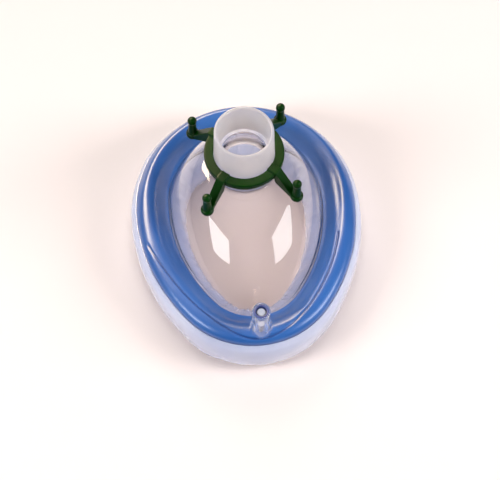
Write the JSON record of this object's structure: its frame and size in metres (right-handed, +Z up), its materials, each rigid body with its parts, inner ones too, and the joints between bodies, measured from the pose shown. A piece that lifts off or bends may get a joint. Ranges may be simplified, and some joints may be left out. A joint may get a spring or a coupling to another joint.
{
  "type": "air-cushion face mask",
  "caption": "Clear air-cushion face mask with a 22 mm socket, a turning strap hook ring, an inflatable coloured cushion and a sprung inflation valve.",
  "frame": {"origin": "middle of the footprint, on the plane of the cushion's seal face", "axes": "+Z up out of the socket, -Y towards the narrow nose end with the inflation valve, +Y towards the broad chin end"},
  "size_m": [0.101, 0.1246, 0.073],
  "materials": {
    "clear_dome": "clear moulded plastic, frosted on the neck",
    "green_plastic": "satin dark green moulded plastic",
    "blue_film": "glossy soft blue film",
    "clear_film": "glossy soft clear film with a faint lilac tint",
    "clear_port": "clear soft plastic",
    "blue_plastic": "satin blue plastic",
    "white_plastic": "matte white plastic",
    "seal_rubber": "soft grey rubber",
    "spring_steel": "drawn steel wire"
  },
  "bodies": {
    "mask": {"dome_shell": "clear_dome", "cushion_collar": "blue_film", "cushion_bladder": "clear_film", "valve_port": "clear_port", "valve_sleeve": "blue_plastic", "valve_body": "white_plastic", "valve_retainer": "white_plastic", "valve_spring": "spring_steel"},
    "ring": {"hook_ring": "green_plastic"},
    "plunger": {"valve_plunger": "white_plastic", "valve_seal": "seal_rubber"}
  },
  "joints": [
    {"name": "ring_turn", "type": "hinge", "parent": "mask", "child": "ring", "pos_m": [0, 0.0145, 0.0555], "axis": [0, 0, 1], "range_deg": [-18, 12]},
    {"name": "valve_press", "type": "slide", "parent": "mask", "child": "plunger", "axis": [0, 0, -1], "range_m": [0, 0.002], "stiffness_N_per_m": 250, "springref_m": -0.001, "deforming": ["valve_spring"]}
  ]
}
